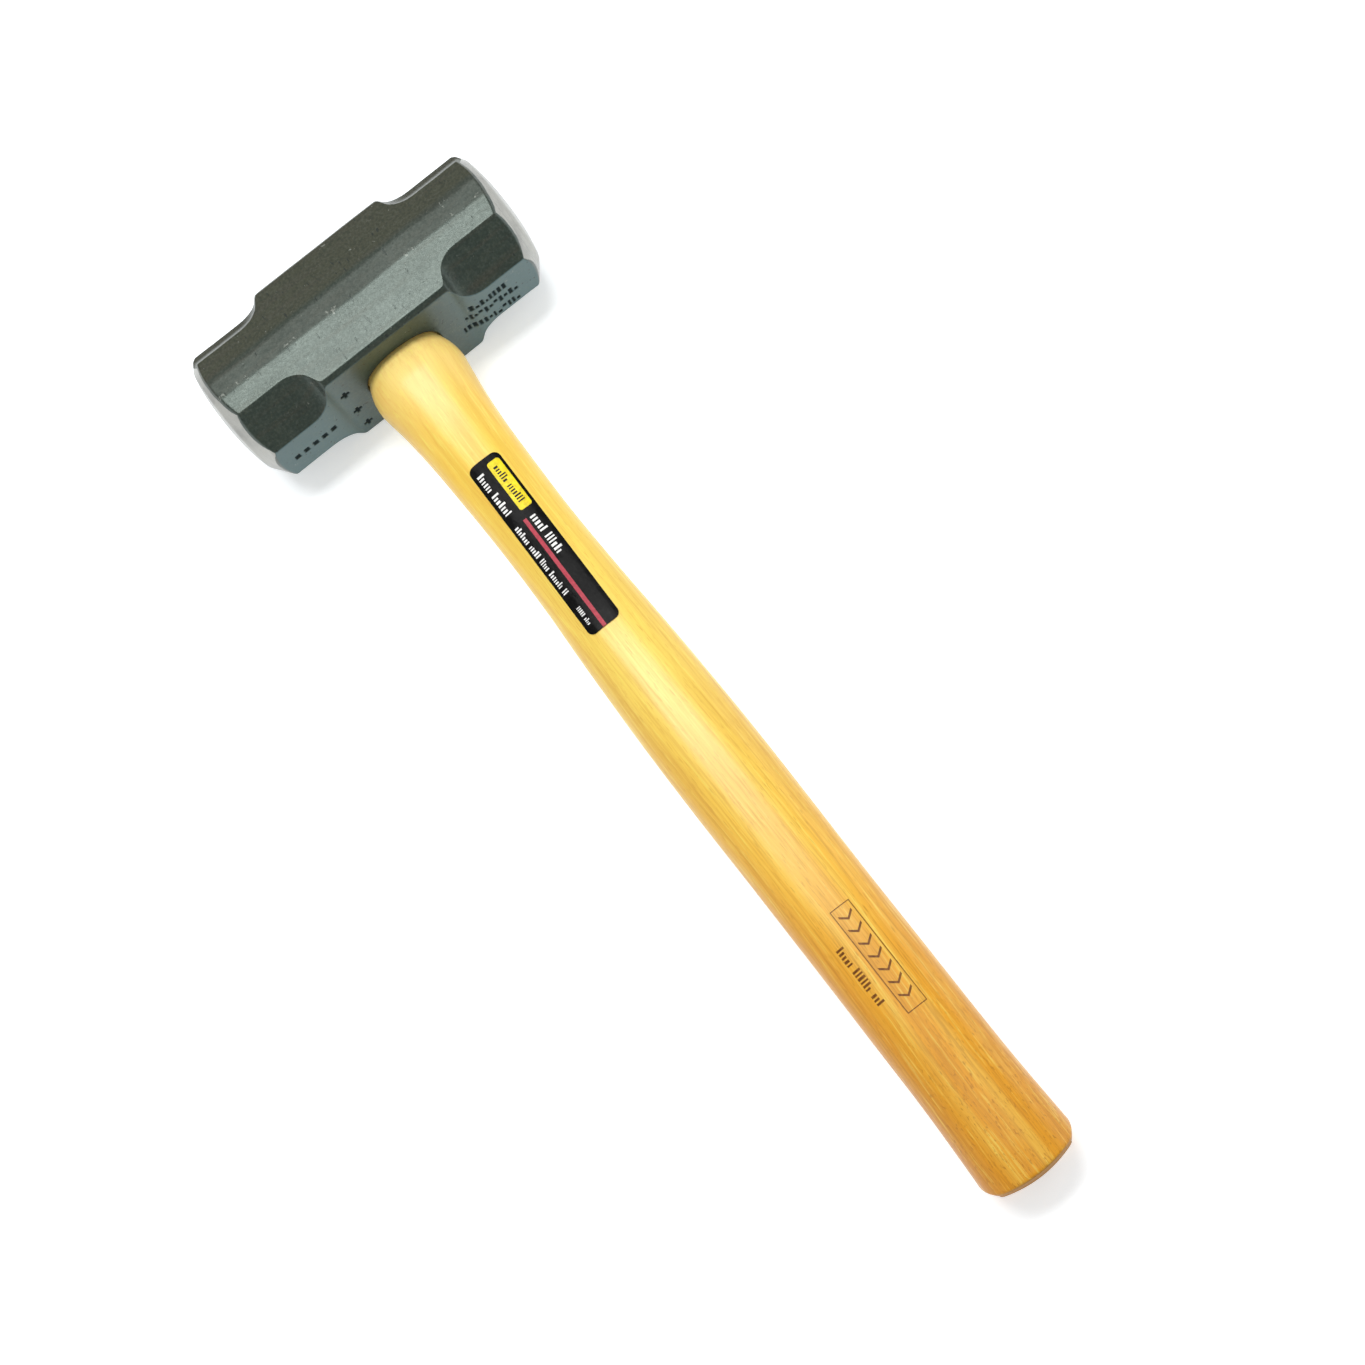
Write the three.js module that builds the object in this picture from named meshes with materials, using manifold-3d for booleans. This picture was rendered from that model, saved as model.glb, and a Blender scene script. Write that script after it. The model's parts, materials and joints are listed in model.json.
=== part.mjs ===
// A four-pound double-faced engineer's hammer with a wedged hickory handle.
//
// The hammer is drawn in its own axes: +X along the head, +Y from the butt of the handle to the
// top of the head, +Z out of the front cheek, with the origin in the middle of the head. At the
// end it is laid down on its back cheek and butt, on the plane z = 0. All sizes are millimetres.

import * as THREE from 'three';
import { mergeVertices } from 'three/addons/utils/BufferGeometryUtils.js';
import Module from 'manifold-3d';

const wasm = await Module();
wasm.setup();

// ---- driving dimensions ----

const fitGap = 0.3; // between pieces that touch

// head, a forging with drafted cheeks
const headLength = 126;
const cheekHalf = 25.0; // from the middle plane to the flat parting strip
const draft = THREE.MathUtils.degToRad(6.8);
const middleTop = 23.2; // half height at the eye
const endTop = 25.2; // half height at the striking ends
const stripHalf = 3.7; // half width of the parting strip
const edgeBreak = 0.8; // small chamfer on the four long edges of the middle
const cornerAlongYTop = 11.6; // large corner chamfers of the striking ends, on the cheeks' upper
const cornerAlongYUnder = 12.9; // and lower halves
const cornerAlongZ = 12.2;
const runOutInner = 27.5; // the corner chamfers run out between these distances from the middle
const runOutOuter = 38;
const runOutSteps = 9;

// striking faces, turned
const faceFlat = 6; // radius of the flat middle of the face
const faceRim = 21.2; // radius of the rim
const crown = 2.1; // fall from the flat to the rim
const crownSteps = 4;
const bevelSlope = 0.76; // fall of the bevel for each unit of radius
const bevelEnd = 31.2; // radius beyond the forging's corners
const cornerRadius = 28; // from here on the bevel curves down to the corners
const cornerCurve = 0.3;
const bevelSteps = 3;
const turnedSegments = 72;
const turnedOffset = 2; // the faces are turned this much above the middle of the forging
const cutterReach = 2; // how far the eye's cutter reaches beyond the forging

// eye, an oval hole that flares to both mouths
const eyeMouthX = 15.6;
const eyeMouthZ = 11.9;
const eyeWaistX = 14.5;
const eyeWaistZ = 10.9;
const eyeTopX = 16.0;
const eyeTopZ = 12.4;
const eyeSteps = 14;
const ovalPower = 2.3; // 2 is an ellipse, more is squarer
const ovalPoints = 32;

// handle, given by half widths at distances below the middle of the head
const tongueProud = 0.9;
const tongueSteps = 12;
const handleProfile = [
  // distance, half width in X, half thickness in Z
  [24.4, 15.9, 12.1],
  [28.5, 17.2, 13.2],
  [34.0, 17.9, 13.6],
  [38.5, 17.4, 13.3],
  [46.0, 16.4, 12.6],
  [61.0, 15.1, 11.5],
  [80.0, 14.3, 10.8],
  [102.0, 13.8, 10.5],
  [128.0, 14.2, 10.8],
  [157.0, 15.25, 11.6],
  [198.0, 16.3, 12.5],
  [251.0, 16.0, 12.3],
  [308.0, 15.8, 12.2],
  [340.0, 16.0, 12.4],
  [363.5, 16.8, 13.0],
];
const profileSamples = 400;
const shoulderStart = 23.6;
const shoulderSections = [24.6, 26, 28, 30.5, 34, 38, 42];
const handleStep = 6; // distance between the handle's cross sections below the shoulder
const buttPlainEnd = 361; // the last plane cross section
const buttCornerStart = 363.5; // where the outline of the butt leaves the sides
const buttCorner = 4.5; // radius of the outline at either side
const buttEnd = 371.0;
const buttArris = 1.0; // rounding of the edge round the butt
const buttSteps = 4;
const arrisSteps = 3;
const buttScales = [0.985, 0.955, 0.915, 0.865, 0.8, 0.65, 0.45, 0.2];

// wedges
const kerfLength = 32;
const woodWedgeHalfX = 13.4;
const woodWedgeNarrowing = 1; // the tip's half width is this much less
const woodWedgeTop = 2.1; // half thickness
const woodWedgeTip = 0.5;
const steelWedgeLength = 20;
const steelWedgeHalfZ = 7.5;
const steelWedgeNarrowing = 0.6;
const steelWedgeTop = 1.5;
const steelWedgeTip = 0.5;
const steelWedgeOffset = 6.5; // from the middle of the eye
const cutAbove = 2; // the slots are cut from this far above the tongue

// label, a thin strip on the front of the handle
const labelStart = 76.4;
const labelEnd = 151.6;
const labelHalf = 6.2;
const labelLean = -1.0; // the label is stuck on a little askew: its end's shift across
const labelThickness = 0.3;
const labelGap = 0.15;
const labelStations = 20;
const labelColumns = 7;

// ---- helpers ----

// A closed solid through rings of points. Every ring has the same number of points, and runs
// anticlockwise seen from the end that the rings advance towards.
function loft(rings) {
  const count = rings[0].length;
  const positions = [];
  const triangles = [];
  for (const ring of rings) {
    for (const point of ring) positions.push(point.x, point.y, point.z);
  }
  for (let r = 0; r + 1 < rings.length; r++) {
    for (let i = 0; i < count; i++) {
      const a = r * count + i;
      const b = r * count + ((i + 1) % count);
      triangles.push(a, b, b + count, a, b + count, a + count);
    }
  }
  const capEnd = (ring, start, outward) => {
    const centre = new THREE.Vector3();
    for (const point of ring) centre.addScaledVector(point, 1 / count);
    const hub = positions.length / 3;
    positions.push(centre.x, centre.y, centre.z);
    for (let i = 0; i < count; i++) {
      const a = start + i;
      const b = start + ((i + 1) % count);
      triangles.push(hub, outward ? a : b, outward ? b : a);
    }
  };
  capEnd(rings[0], 0, false);
  capEnd(rings[rings.length - 1], (rings.length - 1) * count, true);
  const geometry = new THREE.BufferGeometry();
  geometry.setAttribute('position', new THREE.Float32BufferAttribute(positions, 3));
  geometry.setIndex(triangles);
  return geometry;
}

function toSolid(geometry) {
  const bare = geometry.clone();
  bare.deleteAttribute('normal');
  bare.deleteAttribute('uv');
  const merged = mergeVertices(bare, 1e-4);
  return new wasm.Manifold(new wasm.Mesh({
    numProp: 3,
    vertProperties: new Float32Array(merged.attributes.position.array),
    triVerts: new Uint32Array(merged.index.array),
  }));
}

function toGeometry(solid) {
  const mesh = solid.getMesh();
  const geometry = new THREE.BufferGeometry();
  geometry.setAttribute('position', new THREE.BufferAttribute(mesh.vertProperties, 3));
  geometry.setIndex(new THREE.BufferAttribute(mesh.triVerts, 1));
  geometry.computeVertexNormals();
  return geometry;
}

// An oval ring in a plane of constant y, anticlockwise seen from below (from -Y).
function ovalRing(y, halfX, halfZ) {
  const ring = [];
  for (let i = 0; i < ovalPoints; i++) {
    const angle = (2 * Math.PI * i) / ovalPoints;
    const c = Math.cos(angle);
    const s = Math.sin(angle);
    const x = halfX * Math.sign(c) * Math.abs(c) ** (2 / ovalPower);
    const z = halfZ * Math.sign(s) * Math.abs(s) ** (2 / ovalPower);
    ring.push(new THREE.Vector3(x, y, z));
  }
  return ring;
}

// ---- head ----

// How far the corner chamfers have opened at a distance from the middle: 0 at the eye, 1 at the
// striking ends, with the round end that a cutter leaves.
function chamferOpening(distance) {
  const t = THREE.MathUtils.clamp((distance - runOutInner) / (runOutOuter - runOutInner), 0, 1);
  return Math.sqrt(1 - (1 - t) ** 2);
}

// The corners of a quarter of the forging's section, as distances along Y and Z.
function headQuarter(open, cornerAlongY) {
  const top = THREE.MathUtils.lerp(middleTop, endTop, open);
  const cheekAt = (y) => cheekHalf - (y - stripHalf) * Math.tan(draft);
  const cornerY = top - THREE.MathUtils.lerp(edgeBreak, cornerAlongY, open);
  const cornerZ = cheekAt(top) - THREE.MathUtils.lerp(edgeBreak, cornerAlongZ, open);
  return [[stripHalf, cheekHalf], [cornerY, cheekAt(cornerY)], [top, cornerZ]];
}

function headRing(x) {
  const open = chamferOpening(Math.abs(x));
  const upper = headQuarter(open, cornerAlongYTop);
  const under = headQuarter(open, cornerAlongYUnder);
  const outline = [
    ...[...upper].reverse(),
    ...under.map(([y, z]) => [-y, z]),
    ...[...under].reverse().map(([y, z]) => [-y, -z]),
    ...upper.map(([y, z]) => [y, -z]),
  ];
  return outline.map(([y, z]) => new THREE.Vector3(x, y, z));
}

function headForging() {
  const stations = [0];
  for (let i = 0; i <= runOutSteps; i++) {
    const t = 1 - Math.cos((Math.PI / 2) * (i / runOutSteps));
    stations.push(THREE.MathUtils.lerp(runOutInner, runOutOuter, t));
  }
  stations.push(headLength / 2);
  const all = [...stations.slice(1).reverse().map((x) => -x), ...stations];
  return loft(all.map(headRing));
}

// The turned outline that cuts the bevels and crowns the faces, as a solid about the X axis.
function turnedEnvelope() {
  const half = headLength / 2;
  const face = [[0, half], [faceFlat, half]];
  for (let i = 1; i <= crownSteps; i++) {
    const t = i / crownSteps;
    face.push([THREE.MathUtils.lerp(faceFlat, faceRim, t), half - crown * t * t]);
  }
  for (let i = 0; i <= bevelSteps; i++) {
    const radius = THREE.MathUtils.lerp(cornerRadius, bevelEnd, i / bevelSteps);
    const curved = cornerCurve * (radius - cornerRadius) ** 2;
    face.push([radius, half - crown - bevelSlope * (radius - faceRim) - curved]);
  }
  const profile = [
    ...face.map(([radius, along]) => new THREE.Vector2(radius, -along)),
    ...face.reverse().map(([radius, along]) => new THREE.Vector2(radius, along)),
  ];
  const aboutX = new THREE.LatheGeometry(profile, turnedSegments).rotateZ(-Math.PI / 2);
  return aboutX.translate(0, turnedOffset, 0);
}

// The oval of the eye at a height, as half width and half thickness.
function eyeAt(y) {
  const toTop = THREE.MathUtils.clamp(y / middleTop, 0, 1) ** 2;
  const toMouth = THREE.MathUtils.clamp(-y / middleTop, 0, 1) ** 2;
  return {
    x: eyeWaistX + (eyeTopX - eyeWaistX) * toTop + (eyeMouthX - eyeWaistX) * toMouth,
    z: eyeWaistZ + (eyeTopZ - eyeWaistZ) * toTop + (eyeMouthZ - eyeWaistZ) * toMouth,
  };
}

function eyeCutter() {
  const rings = [];
  const reach = endTop + cutterReach;
  for (let i = 0; i <= eyeSteps; i++) {
    const y = THREE.MathUtils.lerp(reach, -reach, i / eyeSteps);
    const { x, z } = eyeAt(y);
    rings.push(ovalRing(y, x, z));
  }
  return loft(rings);
}

function headGeometry() {
  const forged = toSolid(headForging());
  const turned = forged.intersect(toSolid(turnedEnvelope()));
  return toGeometry(turned.subtract(toSolid(eyeCutter())));
}

// ---- handle ----

const tongueTop = middleTop + tongueProud;
const widthCurve = new THREE.CatmullRomCurve3(
  handleProfile.map(([distance, halfX, halfZ]) => new THREE.Vector3(halfX, -distance, halfZ)),
  false,
  'centripetal',
);
const curveSamples = widthCurve.getPoints(profileSamples);

// Half width and half thickness of the handle below the head.
function handleAt(distance) {
  const last = curveSamples.length - 1;
  let i = 0;
  while (i < last - 1 && -curveSamples[i + 1].y < distance) i++;
  const near = curveSamples[i];
  const far = curveSamples[i + 1];
  const t = (-near.y - distance) / (far.y - near.y);
  return { x: THREE.MathUtils.lerp(near.x, far.x, t), z: THREE.MathUtils.lerp(near.z, far.z, t) };
}

function tongueRings() {
  const rings = [];
  for (let i = 0; i <= tongueSteps; i++) {
    const y = THREE.MathUtils.lerp(tongueTop, -shoulderStart, i / tongueSteps);
    const { x, z } = eyeAt(y);
    rings.push(ovalRing(y, x - fitGap, z - fitGap));
  }
  return rings;
}

function shaftRings() {
  const rings = [];
  const distances = [...shoulderSections];
  while (distances.at(-1) + handleStep < buttPlainEnd) distances.push(distances.at(-1) + handleStep);
  for (const distance of distances) {
    const { x, z } = handleAt(distance);
    rings.push(ovalRing(-distance, x, z));
  }
  return rings;
}

// How far down the butt reaches at x: a shallow arc with round corners.
function buttReach(x, halfX) {
  const intoCorner = THREE.MathUtils.clamp((Math.abs(x) - halfX + buttCorner) / buttCorner, 0, 1);
  const dome = buttEnd - buttCornerStart - buttCorner;
  const arc = dome * (1 - (x / halfX) ** 2);
  return buttCornerStart + buttCorner * Math.sqrt(1 - intoCorner ** 2) + arc;
}

// The butt: the sides run down to the curved outline, then round the arris and over the end.
function buttRings() {
  const start = handleAt(buttPlainEnd);
  const end = handleAt(buttCornerStart);
  const rings = [];
  for (let i = 0; i <= buttSteps; i++) {
    const t = i / buttSteps;
    const x = THREE.MathUtils.lerp(start.x, end.x, t);
    const ring = ovalRing(0, x, THREE.MathUtils.lerp(start.z, end.z, t));
    for (const point of ring) {
      const edge = buttReach((point.x * end.x) / x, end.x) - buttArris;
      point.y = -THREE.MathUtils.lerp(buttPlainEnd, edge, t);
    }
    rings.push(ring);
  }
  const addRing = (x, z, above) => {
    const ring = ovalRing(0, x, z);
    const outerX = Math.max(x, end.x - buttArris);
    for (const point of ring) point.y = above - buttReach((point.x * end.x) / outerX, end.x);
    rings.push(ring);
  };
  for (let i = 1; i <= arrisSteps; i++) {
    const turn = (Math.PI / 2) * (i / arrisSteps);
    const inset = buttArris * (1 - Math.cos(turn));
    addRing(end.x - inset, end.z - inset, buttArris * (1 - Math.sin(turn)));
  }
  for (const scale of buttScales) {
    addRing((end.x - buttArris) * scale, (end.z - buttArris) * scale, 0);
  }
  return rings;
}

// A wedge along -Y from the top of the tongue, tapering in one direction across.
function taperedBlock(topY, length, halfX, halfZ, tipHalfX, tipHalfZ) {
  const ring = (y, x, z) => [
    new THREE.Vector3(x, y, z),
    new THREE.Vector3(-x, y, z),
    new THREE.Vector3(-x, y, -z),
    new THREE.Vector3(x, y, -z),
  ];
  return loft([ring(topY, halfX, halfZ), ring(topY - length, tipHalfX, tipHalfZ)]);
}

function woodWedgeBlock(grow) {
  const taper = (woodWedgeTop - woodWedgeTip) / kerfLength;
  const above = grow > 0 ? cutAbove : 0;
  return taperedBlock(
    tongueTop + above,
    kerfLength + above + grow,
    woodWedgeHalfX + grow,
    woodWedgeTop + taper * above + grow,
    woodWedgeHalfX - woodWedgeNarrowing + grow,
    woodWedgeTip + grow,
  );
}

function steelWedgeBlock(side, grow) {
  const taper = (steelWedgeTop - steelWedgeTip) / steelWedgeLength;
  const above = grow > 0 ? cutAbove : 0;
  const block = taperedBlock(
    tongueTop + above,
    steelWedgeLength + above + grow,
    steelWedgeTop + taper * above + grow,
    steelWedgeHalfZ + grow,
    steelWedgeTip + grow,
    steelWedgeHalfZ - steelWedgeNarrowing + grow,
  );
  return block.translate(side * steelWedgeOffset, 0, 0);
}

function handleGeometry() {
  let wood = toSolid(loft([...tongueRings(), ...shaftRings(), ...buttRings()]));
  wood = wood.subtract(toSolid(woodWedgeBlock(fitGap)));
  for (const side of [-1, 1]) wood = wood.subtract(toSolid(steelWedgeBlock(side, fitGap)));
  return toGeometry(wood);
}

function woodWedgeGeometry() {
  let wedge = toSolid(woodWedgeBlock(0));
  for (const side of [-1, 1]) wedge = wedge.subtract(toSolid(steelWedgeBlock(side, fitGap)));
  return toGeometry(wedge);
}

// ---- label ----

// A point over the front of the handle: across is in X, lift is above the wood.
function overHandle(distance, across, lift) {
  const { x, z } = handleAt(distance);
  const height = z * (1 - Math.abs(across / x) ** ovalPower) ** (1 / ovalPower);
  return new THREE.Vector3(across, -distance, height + lift);
}

function labelGeometry() {
  const rings = [];
  for (let i = 0; i <= labelStations; i++) {
    const t = i / labelStations;
    const distance = THREE.MathUtils.lerp(labelStart, labelEnd, t);
    const upper = [];
    const lower = [];
    for (let c = 0; c < labelColumns; c++) {
      const column = THREE.MathUtils.lerp(labelHalf, -labelHalf, c / (labelColumns - 1));
      const across = column + labelLean * t;
      upper.push(overHandle(distance, across, labelGap + labelThickness));
      lower.push(overHandle(distance, across, labelGap));
    }
    rings.push([...upper, ...lower.reverse()]);
  }
  return loft(rings);
}

// ---- assembly ----

function piece(name, geometry, color, roughness, metalness) {
  geometry.computeVertexNormals();
  const material = new THREE.MeshStandardMaterial({ color, roughness, metalness, flatShading: true });
  const mesh = new THREE.Mesh(geometry, material);
  mesh.name = name;
  return mesh;
}

const hammer = new THREE.Group();
hammer.add(piece('head', headGeometry(), 0x5a665a, 0.35, 0.6));
hammer.add(piece('handle', handleGeometry(), 0xe3ab4b, 0.35, 0));
hammer.add(piece('wood_wedge', woodWedgeGeometry(), 0xc99a5a, 0.7, 0));
hammer.add(piece('steel_wedge_left', steelWedgeBlock(-1, 0), 0x8c8c8a, 0.4, 1));
hammer.add(piece('steel_wedge_right', steelWedgeBlock(1, 0), 0x8c8c8a, 0.4, 1));
hammer.add(piece('label', labelGeometry(), 0x17181a, 0.3, 0));

// At rest the hammer lies on its back parting strip's edge and on the butt: it tips about that
// edge by the smallest angle at which any part of the handle comes down to the floor.
const buttFloor = [buttEnd - buttArris, , handleAt(buttCornerStart).z];
const tippingAngles = [...handleProfile, buttFloor].map(
  ([distance, , halfZ]) => Math.atan2(cheekHalf - halfZ, distance - stripHalf),
);
hammer.rotation.x = Math.min(...tippingAngles);

const laid = new THREE.Group();
laid.add(hammer);
laid.updateMatrixWorld(true);
const box = new THREE.Box3().setFromObject(laid, true);
const middle = box.getCenter(new THREE.Vector3());
hammer.position.set(-middle.x, -middle.y, -box.min.z);
laid.updateMatrixWorld(true);

export default laid;
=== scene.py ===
"""A four-pound engineer's sledgehammer: enamelled forged head, lacquered hickory handle, label.

Every shape is drawn in the hammer's own axes, +X along the head, +Y from the butt to the top of
the head, +Z out of the front cheek, with the origin in the middle of the head. place() carries it
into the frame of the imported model, where the hammer lies on its back cheek and its butt."""

import json
import math

import bmesh
import bpy
import numpy as np
from mathutils import Matrix, Vector


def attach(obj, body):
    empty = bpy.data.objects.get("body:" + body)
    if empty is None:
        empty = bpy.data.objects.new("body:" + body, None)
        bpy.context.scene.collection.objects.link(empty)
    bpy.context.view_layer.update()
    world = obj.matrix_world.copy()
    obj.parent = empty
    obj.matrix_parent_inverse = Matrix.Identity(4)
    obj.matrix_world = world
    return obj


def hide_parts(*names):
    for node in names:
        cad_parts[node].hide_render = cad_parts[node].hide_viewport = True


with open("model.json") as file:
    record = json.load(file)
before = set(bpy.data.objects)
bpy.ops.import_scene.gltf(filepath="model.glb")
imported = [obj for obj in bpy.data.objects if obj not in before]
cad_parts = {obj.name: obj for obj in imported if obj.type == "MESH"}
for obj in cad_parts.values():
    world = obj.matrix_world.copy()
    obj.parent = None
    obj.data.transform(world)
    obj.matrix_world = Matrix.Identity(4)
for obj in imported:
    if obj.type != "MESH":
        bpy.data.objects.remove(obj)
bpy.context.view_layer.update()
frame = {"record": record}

MM = 0.001

# ---- sizes that part.mjs sets too ----

HEAD_HALF = 63 * MM
CHEEK = 25.0 * MM
DRAFT = math.radians(6.8)
MIDDLE_TOP = 23.2 * MM
END_TOP = 25.2 * MM
STRIP = 3.7 * MM
CORNER_Y_TOP = 11.6 * MM
CORNER_Y_UNDER = 12.9 * MM
CORNER_Z = 12.2 * MM
RUN_OUT_INNER = 27.5 * MM
RUN_OUT_OUTER = 38 * MM
FACE_FLAT = 6 * MM
FACE_RIM = 21.2 * MM
CROWN = 2.1 * MM
BEVEL_SLOPE = 0.76  # along the head for each unit of radius
TURNED_OFFSET = 2 * MM
CORNER_RADIUS = 28 * MM  # beyond this radius the bevel curves down to the corners
CORNER_CURVE = 0.3 / MM
PAINT_OVER = 0.9 * MM  # how far the enamel laps over the bevel between the corners
EYE_WAIST = (14.5 * MM, 10.9 * MM)
EYE_MOUTH = (15.6 * MM, 11.9 * MM)
EYE_TOP = (16.0 * MM, 12.4 * MM)
OVAL_POWER = 2.3
TONGUE_TOP = MIDDLE_TOP + 0.9 * MM
HANDLE_PROFILE = MM * np.array([
    # distance below the middle of the head, half width, half thickness
    [24.4, 15.9, 12.1],
    [28.5, 17.2, 13.2],
    [34.0, 17.9, 13.6],
    [38.5, 17.4, 13.3],
    [46.0, 16.4, 12.6],
    [61.0, 15.1, 11.5],
    [80.0, 14.3, 10.8],
    [102.0, 13.8, 10.5],
    [128.0, 14.2, 10.8],
    [157.0, 15.25, 11.6],
    [198.0, 16.3, 12.5],
    [251.0, 16.0, 12.3],
    [308.0, 15.8, 12.2],
    [340.0, 16.0, 12.4],
    [363.5, 16.8, 13.0],
])
SHOULDER_START = 23.6 * MM
SHOULDER_END = 45 * MM
BUTT_PLAIN_END = 361 * MM  # the last plane cross section
BUTT_CORNER_START = 363.5 * MM
BUTT_END = 371.0 * MM
BUTT_CORNER = 4.5 * MM  # radius of the butt's outline at either side
BUTT_ARRIS = 1.0 * MM
KERF_LENGTH = 32 * MM
WOOD_WEDGE_HALF_X = 13.4 * MM
WOOD_WEDGE_TOP = 2.1 * MM
WOOD_WEDGE_TIP = 0.5 * MM
STEEL_WEDGE_LENGTH = 20 * MM
STEEL_WEDGE_HALF_Z = 7.5 * MM
STEEL_WEDGE_TOP = 1.5 * MM
STEEL_WEDGE_TIP = 0.5 * MM
STEEL_WEDGE_OFFSET = 6.5 * MM
LABEL_START = 76.4 * MM
LABEL_END = 151.6 * MM
LABEL_HALF = 6.2 * MM
LABEL_LEAN = -1.0 * MM
FIT_GAP = 0.3 * MM


# ---- the hammer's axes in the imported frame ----

def hammer_matrix():
    """The hammer's axes and origin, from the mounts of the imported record."""
    mounts = {m["name"]: m for m in frame["record"]["mounts"]}
    y_axis = Vector(mounts["head_top"]["axis"]).normalized()
    x_axis = Vector((1, 0, 0))
    z_axis = x_axis.cross(y_axis)
    faces = [Vector(mounts[name]["pos_m"]) for name in ("face_left", "face_right")]
    origin = (faces[0] + faces[1]) / 2 - y_axis * TURNED_OFFSET
    matrix = Matrix((x_axis, y_axis, z_axis)).transposed().to_4x4()
    matrix.translation = origin
    return matrix


HAMMER = hammer_matrix()


# ---- mesh helpers ----

def place(name, verts, faces, material, body="root", smooth=True):
    """A mesh piece from points in the hammer's axes."""
    mesh = bpy.data.meshes.new(name)
    mesh.from_pydata([tuple(v) for v in verts], [], [tuple(f) for f in faces])
    mesh.transform(HAMMER)
    mesh.validate()
    mesh.update()
    piece = bpy.data.objects.new(name, mesh)
    bpy.context.scene.collection.objects.link(piece)
    if material:
        mesh.materials.append(material)
    for polygon in mesh.polygons:
        polygon.use_smooth = smooth
    if body:
        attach(piece, body)
    return piece


def ring_faces(rings, count, caps=True):
    """Quads between rings of equal length, advancing along the list, and fan-free end caps."""
    faces = []
    for r in range(rings - 1):
        for i in range(count):
            a = r * count + i
            b = r * count + (i + 1) % count
            faces.append((a, b, b + count, a + count))
    if caps:
        faces.append(tuple(reversed(range(count))))
        faces.append(tuple(range((rings - 1) * count, rings * count)))
    return faces


def cut_away(piece, cutter):
    """Cuts the cutter out of the piece and removes the cutter."""
    modifier = piece.modifiers.new("cut", "BOOLEAN")
    modifier.operation = "DIFFERENCE"
    modifier.solver = "EXACT"
    modifier.object = cutter
    bake_modifiers(piece)
    bpy.data.objects.remove(cutter)


def bake_modifiers(piece):
    """Replaces the piece's mesh with the one that its modifiers make."""
    graph = bpy.context.evaluated_depsgraph_get()
    mesh = bpy.data.meshes.new_from_object(piece.evaluated_get(graph))
    old = piece.data
    piece.modifiers.clear()
    piece.data = mesh
    mesh.name = old.name


def waves(points, wavelength, count, seed):
    """Smooth noise between about -1 and 1: a sum of sine waves in seeded directions."""
    draw = np.random.default_rng(seed)
    directions = draw.normal(size=(count, 3))
    directions /= np.linalg.norm(directions, axis=1)[:, None]
    lengths = wavelength * draw.uniform(0.7, 1.6, count)
    phases = draw.uniform(0, 2 * np.pi, count)
    total = np.zeros(len(points))
    for direction, length, phase in zip(directions, lengths, phases):
        total += np.sin(points @ direction * (2 * np.pi / length) + phase)
    return total / math.sqrt(count)


def oval(half_x, half_z, angles):
    """Points of a superellipse."""
    c, s = np.cos(angles), np.sin(angles)
    x = half_x * np.sign(c) * np.abs(c) ** (2 / OVAL_POWER)
    z = half_z * np.sign(s) * np.abs(s) ** (2 / OVAL_POWER)
    return x, z


def smoothstep(low, high, value):
    t = np.clip((value - low) / (high - low), 0, 1)
    return t * t * (3 - 2 * t)


# ---- head ----

EDGE_BREAK = 1.5 * MM  # the long edges of the middle, rounder than the CAD's
X_STEP = 0.4 * MM
BODY_END = 41 * MM  # the section is constant from here to the bevel
CHEEK_POINTS = [7, 30, 26]  # on the strip, the cheek and the corner chamfer of a quarter section
END_POINTS = [30, 60]  # on the top, and on the under face
EDGE_RADII = [9 * MM, 1.1 * MM, 1.1 * MM]  # between those stretches
ARC_POINTS = 5
BEVEL_ROWS = 44  # rows of points from the end of the body to the edge of the bevel,
RIM_ROWS = 17  # from there to the rim of the face,
FACE_ROWS = 30  # and from the rim to the middle of the face
LAP_FADE = (27 * MM, 29 * MM)  # radii over which the enamel's lap on the bevel ends
BARE_FADE = (-0.15 * MM, 0.35 * MM)  # the soft edge of the enamel, along the head
PAINT_END = (49 * MM, 53 * MM)  # the forged skin's unevenness fades out between these
STAMP_DEPTH = 0.32 * MM
STAMP_SOFT = 0.22 * MM  # half width of a stamped mark's sloping edge
EYE_POINTS = 96
EYE_RINGS = 14
EYE_CHAMFER = 0.5 * MM
CUT_BEYOND = 0.4 * MM  # how far the eye's cutter stands clear of the mouths


def opening(distance):
    """How far the corner chamfers have opened at a distance along the head, from 0 to 1."""
    t = np.clip((distance - RUN_OUT_INNER) / (RUN_OUT_OUTER - RUN_OUT_INNER), 0, 1)
    return math.sqrt(1 - (1 - t) ** 2)


def quarter(x, under):
    """Corners of a quarter of the section, from the middle of the cheek to the long face."""
    open_ = opening(abs(x))
    top = MIDDLE_TOP + (END_TOP - MIDDLE_TOP) * open_
    wander = 0.3 * MM * math.sin(x / (9 * MM) + 2 * under) * math.sin(x / (23 * MM) + under)
    strip = STRIP + wander + (0.5 if under else -0.3) * MM
    along_y = CORNER_Y_UNDER if under else CORNER_Y_TOP
    corner_y = top - (EDGE_BREAK + (along_y - EDGE_BREAK) * open_)
    cheek_at = lambda y: CHEEK - (y - strip) * math.tan(DRAFT)
    corner_z = cheek_at(top) - (EDGE_BREAK + (CORNER_Z - EDGE_BREAK) * open_)
    return [(0, CHEEK), (strip, CHEEK), (corner_y, cheek_at(corner_y)), (top, corner_z), (top, 0)]


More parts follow.
